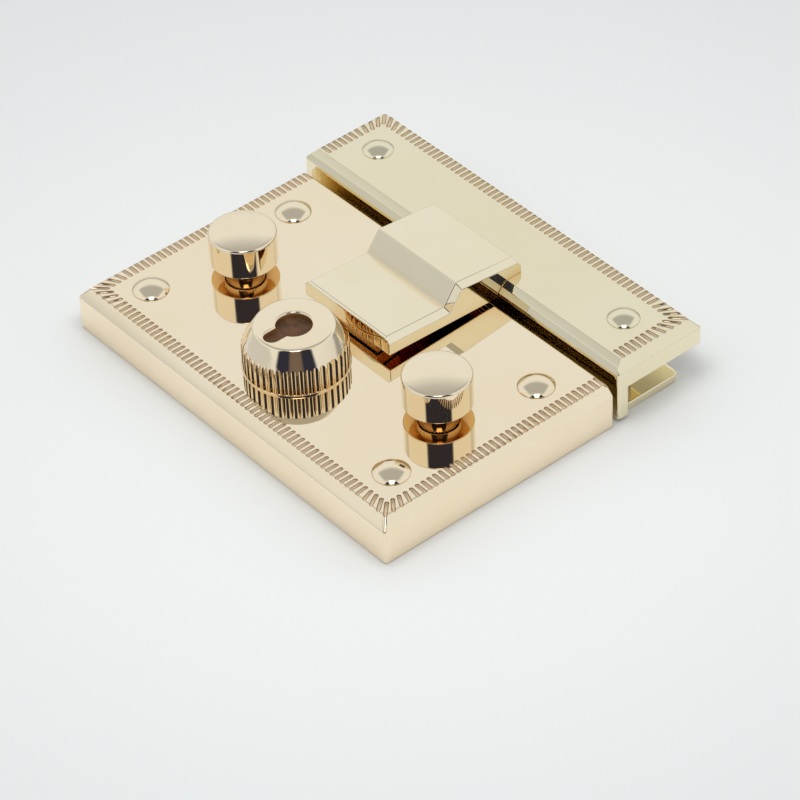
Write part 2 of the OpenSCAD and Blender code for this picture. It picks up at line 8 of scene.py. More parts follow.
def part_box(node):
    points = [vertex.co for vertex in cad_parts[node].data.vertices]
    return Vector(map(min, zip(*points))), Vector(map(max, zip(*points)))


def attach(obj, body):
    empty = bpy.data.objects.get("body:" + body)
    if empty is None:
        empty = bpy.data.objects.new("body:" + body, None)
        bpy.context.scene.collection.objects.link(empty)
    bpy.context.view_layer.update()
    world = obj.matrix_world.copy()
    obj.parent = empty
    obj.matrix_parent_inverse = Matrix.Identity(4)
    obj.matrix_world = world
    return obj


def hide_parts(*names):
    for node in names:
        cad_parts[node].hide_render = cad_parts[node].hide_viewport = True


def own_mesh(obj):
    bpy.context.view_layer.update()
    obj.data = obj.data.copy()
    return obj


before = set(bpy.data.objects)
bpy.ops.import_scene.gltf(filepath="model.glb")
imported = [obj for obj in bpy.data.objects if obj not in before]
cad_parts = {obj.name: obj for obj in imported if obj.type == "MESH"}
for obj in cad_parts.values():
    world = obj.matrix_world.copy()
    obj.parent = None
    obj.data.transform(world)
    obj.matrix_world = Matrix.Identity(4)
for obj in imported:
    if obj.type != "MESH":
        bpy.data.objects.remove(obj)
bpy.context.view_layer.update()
mm = 0.001  # pieces are drawn in millimetres, and scaled to metres when they are done
weld = 0.0005  # points closer than this become one
near = 0.004  # how exactly edges and faces are picked by their place
past = 1.0  # cutters run this far past a face
buttons = ("left_button", "right_button")


def boxOf(node):  # a node's lowest and highest corner, in millimetres
    low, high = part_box(node)
    return low / mm, high / mm


def middleOf(node):
    low, high = boxOf(node)
    return (low + high) / 2


def cornersOf(node, radius):  # the middles of a group of four, or of a pair, from the group's own box
    low, high = boxOf(node)
    xs = (low.x + radius, high.x - radius)
    ys = (low.y + radius, high.y - radius)
    ys = ys[:1] if ys[1] - ys[0] < radius else ys
    return [(x, y) for x in xs for y in ys]


# shading


class Wire:  # an output socket that works as a number does in sums
    def __init__(self, tree, socket=None):
        self.tree = tree
        self.socket = socket

    def node(self, kind, settings=None, sockets=None, out=0):  # any node, with its settings and sockets
        made = self.tree.nodes.new("ShaderNode" + kind)
        for name, value in (settings or {}).items():
            if name == "stops":
                self.setStops(made.color_ramp, value)
            else:
                setattr(made, name, value)
        for name, value in (sockets or {}).items():
            if isinstance(value, Wire):
                self.tree.links.new(value.socket, made.inputs[name])
            else:
                made.inputs[name].default_value = value
        return Wire(self.tree, made.outputs[out] if made.outputs else None)

    def setStops(self, ramp, stops):
        while len(ramp.elements) < len(stops):
            ramp.elements.new(1.0)
        for element, (place, colour) in zip(ramp.elements, stops):
            element.position = place
            element.color = (*colour, 1.0)

    def math(self, operation, *values):
        return self.node("Math", {"operation": operation}, dict(enumerate(values)))

    def __add__(self, other):
        return self.math("ADD", self, other)

    __radd__ = __add__

    def __sub__(self, other):
        return self.math("SUBTRACT", self, other)

    def __rsub__(self, other):
        return self.math("SUBTRACT", other, self)

    def __mul__(self, other):
        return self.math("MULTIPLY", self, other)

    __rmul__ = __mul__

    def __truediv__(self, other):
        return self.math("DIVIDE", self, other)

    def __pow__(self, other):
        return self.math("POWER", self, other)

    def ease(self, low, high):  # 0 below low, 1 above high, smooth between
        sockets = {"Value": self, "From Min": low, "From Max": high}
        return self.node("MapRange", {"interpolation_type": "SMOOTHSTEP"}, sockets)

    def blend(self, first, second):  # from the first colour to the second
        return self.node("Mix", {"data_type": "RGBA"}, {0: self, 6: first, 7: second}, out=2)


def rgba(colour):
    return (*colour, 1.0)


def newFinish(name):
    finish = bpy.data.materials.new(name)
    finish.use_nodes = True
    finish.node_tree.nodes.clear()
    return finish, Wire(finish.node_tree)


goldPlate = {
    "pale": (0.915, 0.795, 0.588),
    "warm": (0.905, 0.775, 0.555),
    "crease": (0.82, 0.61, 0.35),  # painted shade: the tone laid where the gold is closed in, in creases, gaps and hollows
    "shadeReach": 0.002,
    "shadeSpan": (0.45, 0.95),  # from full painted shade to none, as shares of open sky
    "shadeRays": 6,
    "driftScale": 90.0,  # slow change of tone, per metre
    "driftSpan": (0.35, 0.65),
    "wipeScale": 420.0,  # faint wiping marks
    "wipeSpan": (0.45, 0.8),
    "wipeStretch": (1.0, 0.12, 1.0),
    "polish": 0.030,
    "haze": 0.045,
    "rippleScale": 260.0,  # the slight waviness of a buffed casting
    "rippleDeep": 0.0000035,
}
# the stamped plates take a darker painted shade, deepest in the ticks' grooves and the gaps
stampedGold = {**goldPlate, "crease": (0.46, 0.26, 0.11)}
haspGold = {**goldPlate, "pale": (0.888, 0.803, 0.594), "warm": (0.879, 0.783, 0.560)}
flapGold = {**stampedGold, "pale": (0.846, 0.772, 0.558), "warm": (0.837, 0.754, 0.527)}  # a greener batch


def platedGold(name, look, alone=False):  # alone: other pieces and the table do not count towards the painted shade
    finish, wire = newFinish(name)
    place = wire.node("TexCoord", out="Object")
    drift = wire.node("TexNoise", None, {"Vector": place, "Scale": look["driftScale"], "Detail": 2.0})
    turned = wire.node("Mapping", None, {"Vector": place, "Scale": look["wipeStretch"]})
    wipe = wire.node("TexNoise", None, {"Vector": turned, "Scale": look["wipeScale"], "Detail": 4.0})
    ripple = wire.node("TexNoise", None, {"Vector": place, "Scale": look["rippleScale"], "Detail": 1.0})
    tone = drift.ease(*look["driftSpan"]).blend(rgba(look["pale"]), rgba(look["warm"]))
    # painted shade: ambient occlusion blends the tone towards the crease colour where the surface is closed
    # in
    search = {"samples": look["shadeRays"], "only_local": alone}
    exposed = wire.node("AmbientOcclusion", search, {"Distance": look["shadeReach"]}, out="AO")
    tone = exposed.ease(*look["shadeSpan"]).blend(rgba(look["crease"]), tone)
    rough = look["polish"] + look["haze"] * wipe.ease(*look["wipeSpan"])
    bump = wire.node("Bump", None, {"Height": ripple, "Strength": 1.0, "Distance": look["rippleDeep"]})
    sockets = {"Base Color": tone, "Metallic": 1.0, "Roughness": rough, "Normal": bump}
    skin = wire.node("BsdfPrincipled", None, sockets)
    wire.node("OutputMaterial", None, {"Surface": skin})
    return finish


springSteel = {
    "light": (0.62, 0.60, 0.57),
    "dark": (0.57, 0.545, 0.51),
    "grainScale": 1500.0,
    "grainSpan": (0.3, 0.7),
    "polish": 0.16,
    "haze": 0.14,
    "rippleDeep": 0.0000008,
}


def plainSteel(name, look):
    finish, wire = newFinish(name)
    place = wire.node("TexCoord", out="Object")
    grain = wire.node("TexNoise", None, {"Vector": place, "Scale": look["grainScale"], "Detail": 5.0})
    tone = grain.ease(*look["grainSpan"]).blend(rgba(look["light"]), rgba(look["dark"]))
    rough = look["polish"] + look["haze"] * grain
    bump = wire.node("Bump", None, {"Height": grain, "Strength": 1.0, "Distance": look["rippleDeep"]})
    sockets = {"Base Color": tone, "Metallic": 1.0, "Roughness": rough, "Normal": bump}
    skin = wire.node("BsdfPrincipled", None, sockets)
    wire.node("OutputMaterial", None, {"Surface": skin})
    return finish


# painted shade for the keyhole's floor; its patches vary the tone at random
keyholeShadeLook = {
    "light": (0.140, 0.070, 0.034),
    "dark": (0.075, 0.038, 0.019),
    "patchScale": 900.0,
    "patchSpan": (0.3, 0.7),
    "rough": 0.6,
    "shine": 0.2,
}


def shadeBrown(name, look):  # painted shade: a dull dark brown for the keyhole's floor, in place of the shade in the recess
    finish, wire = newFinish(name)
    place = wire.node("TexCoord", out="Object")
    patch = wire.node("TexNoise", None, {"Vector": place, "Scale": look["patchScale"], "Detail": 3.0})
    tone = patch.ease(*look["patchSpan"]).blend(rgba(look["light"]), rgba(look["dark"]))
    sockets = {"Base Color": tone, "Roughness": look["rough"], "Specular IOR Level": look["shine"]}
    skin = wire.node("BsdfPrincipled", None, sockets)
    wire.node("OutputMaterial", None, {"Surface": skin})
    return finish


gold = platedGold("plated_gold", goldPlate)
midGold = platedGold("plated_gold_hasp", haspGold)
plateGold = platedGold("plated_gold_plate", stampedGold, True)
greenGold = platedGold("plated_gold_flap", flapGold, True)
keyholeShade = shadeBrown("painted_shade_keyhole_floor", keyholeShadeLook)
steel = plainSteel("bright_steel", springSteel)
print("finishes: gold plating, tarnish and steel")


# modelling helpers


def block(low, high):
    bm = bmesh.new()
    bmesh.ops.create_cube(bm, size=1.0)
    bmesh.ops.scale(bm, vec=high - low, verts=bm.verts)
    bmesh.ops.translate(bm, vec=(low + high) / 2, verts=bm.verts)
    return bm


def rod(radius, x, y, low, high, steps=48):  # an upright cylinder
    start, end = Vector((x, y, low)), Vector((x, y, high))
    bm = bmesh.new()
    bmesh.ops.create_cone(
        bm,
        cap_ends=True,
        segments=steps,
        radius1=radius,
        radius2=radius,
        depth=(end - start).length,
    )
    bmesh.ops.translate(bm, vec=(start + end) / 2, verts=bm.verts)
    return bm


def extruded(outline, along, reach):  # a flat outline drawn out along one direction
    bm = bmesh.new()
    face = bm.faces.new([bm.verts.new(point) for point in outline])
    far = bmesh.ops.extrude_face_region(bm, geom=[face])["geom"]
    bmesh.ops.translate(bm, vec=along * reach, verts=[v for v in far if isinstance(v, bmesh.types.BMVert)])
    bmesh.ops.recalc_face_normals(bm, faces=bm.faces)
    return bm


def spun(profile, steps=96):  # a half profile, from axis to axis, turned round the upright
    bm = bmesh.new()
    points = [bm.verts.new((r, 0, z)) for r, z in profile]
    line = [bm.edges.new(pair) for pair in zip(points, points[1:])]
    bmesh.ops.spin(
        bm, geom=points + line, cent=(0, 0, 0), axis=(0, 0, 1), angle=math.tau, steps=steps, use_merge=True
    )
    bmesh.ops.remove_doubles(bm, verts=bm.verts, dist=weld)
    bmesh.ops.recalc_face_normals(bm, faces=bm.faces)
    return bm


def lofted(rings):  # a closed shape through rings of equal count, the lowest first
    bm = bmesh.new()
    loops = [[bm.verts.new(point) for point in ring] for ring in rings]
    for lower, upper in zip(loops, loops[1:]):
        for i in range(len(lower)):
            bm.faces.new((lower[i - 1], lower[i], upper[i], upper[i - 1]))
    bm.faces.new(loops[0])
    bm.faces.new(loops[-1])
    bmesh.ops.recalc_face_normals(bm, faces=bm.faces)
    return bm


def domeLine(rim, rise, foot, steps=14):  # from the rim of a low dome to its pole
    ball = (rim**2 + rise**2) / (2 * rise)
    reach = math.asin(rim / ball)
    turns = [reach * (1 - i / steps) for i in range(steps + 1)]
    return [(ball * math.sin(t), foot + rise - ball + ball * math.cos(t)) for t in turns]


def shave(bm, point, normal):  # cuts off what lies outside a plane and closes the cut
    everything = bm.verts[:] + bm.edges[:] + bm.faces[:]
    cut = bmesh.ops.bisect_plane(
        bm, geom=everything, dist=weld, plane_co=point, plane_no=normal, clear_outer=True
    )
    rim = [edge for edge in cut["geom_cut"] if isinstance(edge, bmesh.types.BMEdge)]
    bmesh.ops.edgeloop_fill(bm, edges=rim)
    bmesh.ops.recalc_face_normals(bm, faces=bm.faces)


def soften(bm, radius, segments=3, test=None, angle=20):  # rounds the sharp edges that pass a test
    limit = math.radians(angle)
    picked = []
    for edge in bm.edges:
        if len(edge.link_faces) == 2 and edge.calc_face_angle() > limit and (test is None or test(edge)):
            picked.append(edge)
    bmesh.ops.bevel(
        bm,
        geom=picked,
        offset=radius,
        offset_type="OFFSET",
        segments=segments,
        profile=0.5,
        affect="EDGES",
        clamp_overlap=True,
        material=-1,
    )


def ringAt(radius, height):  # a test for the edges of one ring of a turned piece
    def test(edge):
        places = [v.co for v in edge.verts]
        return all(abs(p.xy.length - radius) < near and abs(p.z - height) < near for p in places)

    return test


def joined(shapes):  # several shapes as one mesh
    whole = bmesh.new()
    for shape in shapes:
        mesh = bpy.data.meshes.new("loose")
        shape.to_mesh(mesh)
        shape.free()
        whole.from_mesh(mesh)
        bpy.data.meshes.remove(mesh)
    return whole


def moved(bm, vec):
    bmesh.ops.translate(bm, vec=vec, verts=bm.verts)
    return bm


def carve(body, tool, operation="DIFFERENCE"):  # takes one shape out of another, or adds it
    pair = []
    for name, shape in (("carved", body), ("tool", tool)):
        mesh = bpy.data.meshes.new(name)
        shape.to_mesh(mesh)
        shape.free()
        pair.append(bpy.data.objects.new(name, mesh))
        bpy.context.scene.collection.objects.link(pair[-1])
    cut = pair[0].modifiers.new("cut", "BOOLEAN")
    cut.object = pair[1]
    cut.operation = operation
    cut.solver = "EXACT"
    result = pair[0].evaluated_get(bpy.context.evaluated_depsgraph_get())
    bm = bmesh.new()
    bm.from_mesh(result.to_mesh())
    result.to_mesh_clear()
    for piece in pair:
        mesh = piece.data
        bpy.data.objects.remove(piece)
        bpy.data.meshes.remove(mesh)
    return bm


def finishPiece(name, bm, finish, body, stands, sharp=30):
    bmesh.ops.remove_doubles(bm, verts=bm.verts, dist=weld)
    bmesh.ops.scale(bm, vec=(mm, mm, mm), verts=bm.verts)
    mesh = bpy.data.meshes.new(name)
    bm.to_mesh(mesh)
    bm.free()
    mesh.materials.append(finish)
    mesh.shade_smooth()
    mesh.set_sharp_from_angle(angle=math.radians(sharp))
    piece = bpy.data.objects.new(name, mesh)
    bpy.context.scene.collection.objects.link(piece)
    flats = piece.modifiers.new("flats", "WEIGHTED_NORMAL")
    flats.keep_sharp = True
    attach(piece, body)
    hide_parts(*stands)
    print("piece:", name, len(mesh.polygons), "faces")
    return piece


# ticks stamped round the borders of both plates

tick = {
    "pitch": 0.74,  # along the inner ends
    "long": 1.5,
    "fan": 4.8,  # in a corner the ticks point to a core that lies this far inside the edge
    "ball": 0.25,  # radius of the stamp
    "lift": 0.03,  # how far its middle stays above the face
    "over": 0.1,  # run-out over the bevel
}


def tickStamp(inner, outer, top):  # a rod with round ends, half sunk in the face
    run = outer - inner
    bm = bmesh.new()
    bmesh.ops.create_uvsphere(bm, u_segments=12, v_segments=9, radius=tick["ball"])
    bmesh.ops.rotate(bm, verts=bm.verts, cent=(0, 0, 0), matrix=Matrix.Rotation(math.pi / 2, 3, "Y"))
    far = [v for v in bm.verts if v.co.x > 0]
    bmesh.ops.translate(bm, vec=(run.length + tick["over"] - 2 * tick["ball"], 0, 0), verts=far)
    moved(bm, (tick["ball"], 0, 0))
    turn = Matrix.Rotation(math.atan2(run.y, run.x), 3, "Z")
    bmesh.ops.rotate(bm, verts=bm.verts, cent=(0, 0, 0), matrix=turn)
    return moved(bm, (inner.x, inner.y, top + tick["lift"]))


def borderStamps(half, edgeY, openY, top):  # both ends and one long side; the other long side stays plain
    away = 1 if openY > edgeY else -1
    coreX = half - tick["fan"]
    coreY = sorted((edgeY + away * tick["fan"], openY))
    endX = half - tick["long"]
    endY = edgeY + away * tick["long"]
    count = round(endX / tick["pitch"])
    rows = math.floor(abs(openY - endY) / tick["pitch"] - 0.5)
    inners = [Vector((i * endX / count, endY)) for i in range(-count, count + 1)]
    for side in (-1, 1):
        inners += [Vector((side * endX, endY + away * i * tick["pitch"])) for i in range(1, rows + 1)]
    stamps = []
    for inner in inners:
        core = Vector((max(-coreX, min(coreX, inner.x)), max(coreY[0], min(coreY[1], inner.y))))
        stretch = tick["fan"] / (tick["fan"] - tick["long"])
        stamps.append(tickStamp(inner, core + (inner - core) * stretch, top))
    return joined(stamps)


# lock plate: a shallow tray with bevelled edges

lockPlate = {
    "bevelWide": 1.0,
    "bevelDrop": 1.1,
    "rearBevel": 0.3,
    "wall": 2.0,
    "skin": 1.2,
    "rebate": 1.0,
    "backThick": 0.7,
    "cornerRound": 0.32,
    "bevelRound": 0.03,
    "edgeRound": 0.14,
    "collar": 2.1,
    "collarInside": 1.83,
    "collarTall": 1.9,
    "rivetBoss": 2.2,
    "screwBoss": 1.9,
    "screwHole": 0.77,
    "stemHole": 1.45,
    "capHole": 1.92,
    "windowGap": 0.2,
    "underSkin": 0.5,  # screw holes stop, and the tongue's window starts, this far under the skin
}


def upright(edge):
    return abs(edge.verts[0].co.z - edge.verts[1].co.z) > near


def faceBox():  # the lock plate's box, up to its face and without the collars
    low, high = boxOf("lock_plate")
    return low, high - Vector((0, 0, lockPlate["collarTall"]))


def alongX(edge):
    return abs(edge.verts[0].co.x - edge.verts[1].co.x) > near


def buildLockPlate():
    size = lockPlate
    low, high = faceBox()
    bm = block(low, high)
    wide, drop = size["bevelWide"], size["bevelDrop"]
    shave(bm, (0, low.y + wide, high.z), (0, -drop, wide))
    shave(bm, (0, high.y - size["rearBevel"], high.z), (0, 1, 1))
    for side in (-1, 1):
        shave(bm, (side * (high.x - wide), 0, high.z), (side * drop, 0, wide))
    soften(bm, size["cornerRound"], 5, upright)
    bevelFoot = high.z - drop
    soften(bm, size["bevelRound"], 3, lambda edge: all(abs(v.co.z - bevelFoot) < near for v in edge.verts))
    soften(bm, size["edgeRound"], 3, lambda edge: not upright(edge))
    wall = Vector((size["wall"], size["wall"], 0))
    ceiling = high.z - size["skin"]
    below = Vector((0, 0, past))
    inner = block(low + wall - below, Vector((high.x, high.y, ceiling)) - wall)
    rivets = cornersOf("lock_plate_rivets", rivet["radius"])
    screws = cornersOf("back_plate_screws", screw["headRound"])
    bosses = [rod(size["rivetBoss"], x, y, size["backThick"], high.z) for x, y in rivets]
    bosses += [rod(size["screwBoss"], x, y, size["backThick"], high.z) for x, y in screws]
    for boss in bosses:
        inner = carve(inner, boss)
    bm = carve(bm, inner)
    rebate = Vector((size["rebate"], size["rebate"], 0))
    seat = Vector((high.x, high.y, size["backThick"])) - rebate
    bm = carve(bm, block(low + rebate - below, seat))
    holeTop = ceiling - size["underSkin"]
    holes = [rod(size["screwHole"], x, y, 0, holeTop) for x, y in screws]
    for node in buttons:
        holes.append(rod(size["stemHole"], *middleOf(node).xy, 0, high.z + past))
    holes.append(rod(size["capHole"], *middleOf("lock_cap").xy, 0, high.z + past))
    gap = Vector((size["windowGap"], size["windowGap"], 0))
    tongueLow, tongueHigh = boxOf("catch_tongue")
    tongueLow.z = holeTop
    holes.append(block(tongueLow - gap, tongueHigh + gap))
    bm = carve(bm, joined(holes))
    for node in buttons:
        bm = carve(bm, moved(collarRing(high.z), middleOf(node).xy.to_3d()), "UNION")
    stamps = borderStamps(high.x - wide, low.y + wide, high.y, high.z)
    bm = carve(bm, stamps)
    return finishPiece("lock_plate_cast", bm, plateGold, "lock", ["lock_plate"])


def collarRing(foot):  # stands on the plate round a button's neck
    size = lockPlate
    top = foot + size["collarTall"]
    line = [(size["collarInside"], foot - size["skin"] / 2), (size["collar"], foot - size["skin"] / 2)]
    line += [(size["collar"], top), (size["collarInside"], top)]
    bm = spun(line + line[:1])
    soften(bm, size["edgeRound"] / 2, 3, ringAt(size["collar"], top))
    return bm


# rivets with a domed head

rivet = {"radius": 2.0, "skirt": 0.07, "rim": 0.06, "shank": 1.2}


def buildRivets(name, node, body):
    low, high = boxOf(node)
    plateTop = faceBox()[1].z if body == "lock" else boxOf("flap_plate")[1].z
    radius = rivet["radius"] if body == "lock" else flapPlate["rivetRadius"]
    shapes = []
    for x, y in cornersOf(node, radius):
        skirt = plateTop + rivet["skirt"]
        line = [(0, low.z), (rivet["shank"], low.z), (rivet["shank"], plateTop), (radius, plateTop)]
        bm = spun(line + domeLine(radius, high.z - skirt, skirt))
        soften(bm, rivet["rim"], 3, ringAt(radius, skirt))
        shapes.append(moved(bm, (x, y, 0)))
    return finishPiece(name, joined(shapes), gold if body == "lock" else greenGold, body, [node])


# back plate and its countersunk screws

screw = {"headRound": 1.45, "shank": 0.75, "fit": 0.02, "slotWide": 0.42, "slotDeep": 0.38, "edge": 0.05}
backPlate = {"edge": 0.08, "clearance": 1.05}


def countersink(x, y, face, thick):
    cone = screw["headRound"] - screw["shank"]
    rim = screw["headRound"] + 2 * screw["fit"]
    tool = [
        (0, face - screw["fit"]),
        (rim, face - screw["fit"]),
        (screw["shank"] + screw["fit"], face + cone),
        (screw["shank"] + screw["fit"], face + thick + past),
        (0, face + thick + past),
    ]
    return moved(spun(tool, 48), (x, y, 0))


def buildScrews(name, node, body):
    low, high = boxOf(node)
    cone = screw["headRound"] - screw["shank"]
    shapes = []
    for x, y in cornersOf(node, screw["headRound"]):
        line = [(0, low.z), (screw["headRound"], low.z), (screw["shank"], low.z + cone)]
        line += [(screw["shank"], high.z - screw["shank"] / 2), (screw["shank"] / 2, high.z), (0, high.z)]
        bm = spun(line, 48)
        soften(bm, screw["edge"], 2, ringAt(screw["headRound"], low.z))
        reach = Vector((screw["headRound"] + past, screw["slotWide"] / 2, 0))
        floor = Vector((0, 0, low.z + screw["slotDeep"]))
        slot = block(-reach + Vector((0, 0, low.z - past)), reach + floor)
        shapes.append(moved(carve(bm, slot), (x, y, 0)))
    return finishPiece(name, joined(shapes), steel, body, [node])


def buildBackPlate():
    low, high = boxOf("back_plate")
    bm = block(low, high)
    soften(bm, backPlate["edge"], 3)
    screws = cornersOf("back_plate_screws", screw["headRound"])
    tools = [countersink(x, y, low.z, high.z - low.z) for x, y in screws]
    for x, y in cornersOf("lock_plate_rivets", rivet["radius"]):
        tools.append(rod(backPlate["clearance"], x, y, low.z - past, high.z + past))
    return finishPiece("back_plate_sheet", carve(bm, joined(tools)), steel, "lock", ["back_plate"])


# push buttons with their springs

button = {
    "head": 3.65,
    "headTall": 3.58,
    "headDome": 0.42,
    "headRound": 0.35,
    "footRound": 0.12,
    "pocket": 2.2,
    "pocketDeep": 2.2,
    "stem": 1.4,
    "tip": 0.6,
    "tipLong": 1.5,
    "groove": 1.05,
    "grooveTall": 0.32,
    "grooveDrop": 1.52,  # from the plate's top down to the clip's lower face
    "steps": 128,
}


def buildButton(side):
    size = button
    low, high = boxOf(side + "_button")
    middle = (low + high) / 2
    plateTop = faceBox()[1].z
    rim = high.z - size["headDome"]
    foot = rim - size["headTall"]
    clip = plateTop - size["grooveDrop"]
    line = [
        (0, low.z),
        (size["tip"], low.z),
        (size["stem"], low.z + size["tipLong"]),
        (size["stem"], clip),
        (size["groove"], clip),
        (size["groove"], clip + size["grooveTall"]),
        (size["stem"], clip + size["grooveTall"]),
        (size["stem"], foot + size["pocketDeep"]),
        (size["pocket"], foot + size["pocketDeep"]),
        (size["pocket"], foot),
        (size["head"], foot),
    ]
    bm = spun(line + domeLine(size["head"], size["headDome"], rim), size["steps"])
    soften(bm, size["headRound"], 6, ringAt(size["head"], rim))
    soften(bm, size["footRound"], 4, ringAt(size["head"], foot))
    soften(bm, size["footRound"] / 2, 3, ringAt(size["pocket"], foot))
    moved(bm, (middle.x, middle.y, 0))
    return finishPiece(side + "_button_turned", bm, gold, side + "_push", [side + "_button"])


spring = {"wire": 0.16, "turns": 4, "flatTurn": 0.5, "steps": 40, "sides": 12, "travel": 1.0, "sharp": 50}


def buildSpring(side):
    size = spring
    node = side + "_button_spring"
    low, high = boxOf(node)
    middle = (low + high) / 2
    coil = (high.x - low.x) / 2 - size["wire"]
    foot = low.z + size["wire"]
    rise = high.z - low.z - 2 * size["wire"]
    bm = bmesh.new()
    ring = bmesh.ops.create_circle(bm, cap_ends=True, segments=size["sides"], radius=size["wire"])["verts"]
    bmesh.ops.rotate(bm, verts=ring, cent=(0, 0, 0), matrix=Matrix.Rotation(math.pi / 2, 3, "X"))
    bmesh.ops.translate(bm, vec=(coil, 0, 0), verts=ring)
    last = bm.faces[:]
    flat = (size["flatTurn"], 0.0)
    for turns, climb in (flat, (size["turns"], rise), flat):
        steps = round(turns * size["steps"])
        last = bmesh.ops.spin(
            bm,
            geom=last,
            cent=(0, 0, 0),
            axis=(0, 0, 1),
            dvec=(0, 0, climb / steps),
            angle=turns * math.tau,
            steps=steps,
        )["geom_last"]
    bmesh.ops.recalc_face_normals(bm, faces=bm.faces)
    moved(bm, (middle.x, middle.y, foot))
    piece = finishPiece(node + "_wire", bm, steel, "lock", [node], size["sharp"])
    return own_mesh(piece)


# knurled cap with its keyhole

cap = {
    "radius": 5.55,
    "topRadius": 4.2,
    "knurlTall": 2.75,
    "tall": 5.0,
    "flutes": 44,
    "fluteDeep": 0.26,
    "fluteRound": 0.37,
    "fluteSides": 32,
    "stepsPerFlute": 6,
    "flange": 0.12,
    "flangeTall": 0.2,
    "spigot": 1.9,
    "screwHole": 1.0,
    "screwDeep": 3.2,
    "topRound": 0.22,
    "runOut": 0.55,  # how far up the cone the flutes reach
    "keyRadius": 2.1,
    "keySlotWide": 2.2,
    "keySlotLong": 3.95,
    "keyDeep": 0.75,
    "keyRound": 0.24,
}


def keyholeRing(height, shrink, steps=48):  # a round hole with a slot that runs to -Y
    radius = cap["keyRadius"] - shrink
    half = cap["keySlotWide"] / 2 - shrink
    mouth = math.asin(half / radius)
    end = cap["keySlotWide"] / 2 - cap["keySlotLong"]
    big = [mouth - math.pi / 2 + (math.tau - 2 * mouth) * i / steps for i in range(steps + 1)]
    small = [math.pi + math.tau * i / steps for i in range(steps // 2 + 1)]
    ring = [(radius * math.cos(a), radius * math.sin(a), height) for a in big]
    return ring + [(half * math.cos(a), end + half * math.sin(a), height) for a in small]


def keyholeCutter(floor, top, steps=7):  # flares towards the top, which leaves a round rim
    edge = cap["keyRound"]
    rings = [keyholeRing(floor, edge)]
    for i in range(steps + 1):
        turn = math.pi / 2 * i / steps
        rings.append(keyholeRing(top - edge + edge * math.sin(turn), edge * math.cos(turn)))
    return lofted(rings + [keyholeRing(top + past, 0)])


def buildCap():
    size = cap
    low, high = boxOf("lock_cap")
    middle = (low + high) / 2
    foot = high.z - size["tall"]
    knurlTop = foot + size["knurlTall"]
    flange = size["radius"] + size["flange"]
    cone = (size["radius"] - size["topRadius"]) / (size["tall"] - size["knurlTall"])
    line = [
        (0, low.z + size["screwDeep"]),
        (size["screwHole"], low.z + size["screwDeep"]),
        (size["screwHole"], low.z),
        (size["spigot"], low.z),
        (size["spigot"], foot),
        (flange, foot),
        (flange, foot + size["flangeTall"]),
        (size["radius"], foot + size["flangeTall"]),
        (size["radius"], knurlTop),
        (size["radius"] - size["runOut"] * cone, knurlTop + size["runOut"]),
        (size["topRadius"], high.z),
        (0, high.z),
    ]
    bm = spun(line, size["stepsPerFlute"] * size["flutes"])
    soften(bm, size["topRound"], 5, ringAt(size["topRadius"], high.z))
    soften(bm, size["flange"] / 2, 3, ringAt(flange, foot + size["flangeTall"]))
    axis = size["radius"] + size["fluteRound"] - size["fluteDeep"]
    fluteFoot = foot + size["flangeTall"]
    flutes = []
    for i in range(size["flutes"]):
        flute = rod(size["fluteRound"], axis, 0, fluteFoot, high.z + past, size["fluteSides"])
        turn = Matrix.Rotation(math.tau * i / size["flutes"], 3, "Z")
        bmesh.ops.rotate(flute, verts=flute.verts, cent=(0, 0, 0), matrix=turn)
        flutes.append(flute)
    bm = carve(bm, joined(flutes))
    floor = high.z - size["keyDeep"]
    bm = carve(bm, keyholeCutter(floor, high.z))
    # the keyhole's floor takes the painted shade finish in the second slot
    for face in bm.faces:
        if all(abs(v.co.z - floor) < near for v in face.verts):
            face.material_index = 1
    moved(bm, (middle.x, middle.y, 0))
    piece = finishPiece("lock_cap_turned", bm, gold, "lock", ["lock_cap"])
    piece.data.materials.append(keyholeShade)
    return piece


# flap plate, hasp and what is under them

flapPlate = {
    "thick": 3.1,
    "wall": 1.3,
    "frontRun": 1.2,
    "frontDrop": 1.1,
    "midRun": 0.38,  # shares of the run and the drop where the front bevel breaks
    "midDrop": 0.42,
    "rivetRadius": 1.75,
    "footRound": 0.62,
    "cornerRound": 0.32,
    "cornerTall": 1.2,  # upright edges longer than this are corners
    "edgeRound": 0.09,
    "edgeAngle": 12,
}


def frontBreak(low, high):  # where the front bevel of the flap plate breaks, seen along X
    size = flapPlate
    return low.y + size["frontRun"] * size["midRun"], high.z - size["frontDrop"] * size["midDrop"]


def buildFlapPlate():
    size = flapPlate
    low, high = boxOf("flap_plate")
    wide, drop = lockPlate["bevelWide"], lockPlate["bevelDrop"]
    bm = block(low, high)
    breakY, breakZ = frontBreak(low, high)
    foot = high.z - size["frontDrop"]
    topY = low.y + size["frontRun"]
    shave(bm, (0, topY, high.z), (0, breakZ - high.z, topY - breakY))
    shave(bm, (0, low.y, foot), (0, foot - breakZ, breakY - low.y))
    shave(bm, (0, high.y - wide, high.z), (0, drop, wide))
    for side in (-1, 1):
        shave(bm, (side * (high.x - wide), 0, high.z), (side * drop, 0, wide))

    def rearCorner(edge):
        return upright(edge) and edge.verts[0].co.y > 0 and edge.calc_length() > size["cornerTall"]

    def aboveFoot(edge):
        return max(v.co.z for v in edge.verts) > low.z + near

    soften(bm, size["cornerRound"], 5, rearCorner)
    soften(bm, size["edgeRound"], 3, aboveFoot, size["edgeAngle"])
    under = Vector((low.x - past, low.y + size["wall"], low.z - past))
    bm = carve(bm, block(under, Vector((high.x + past, high.y + past, high.z - size["thick"]))))
    soften(bm, size["footRound"], 6, lambda edge: alongX(edge) and not aboveFoot(edge))
    stamps = borderStamps(high.x - wide, high.y - wide, low.y + size["frontRun"], high.z)
    bm = carve(bm, stamps)
    return finishPiece("flap_plate_cast", bm, greenGold, "flap", ["flap_plate"])


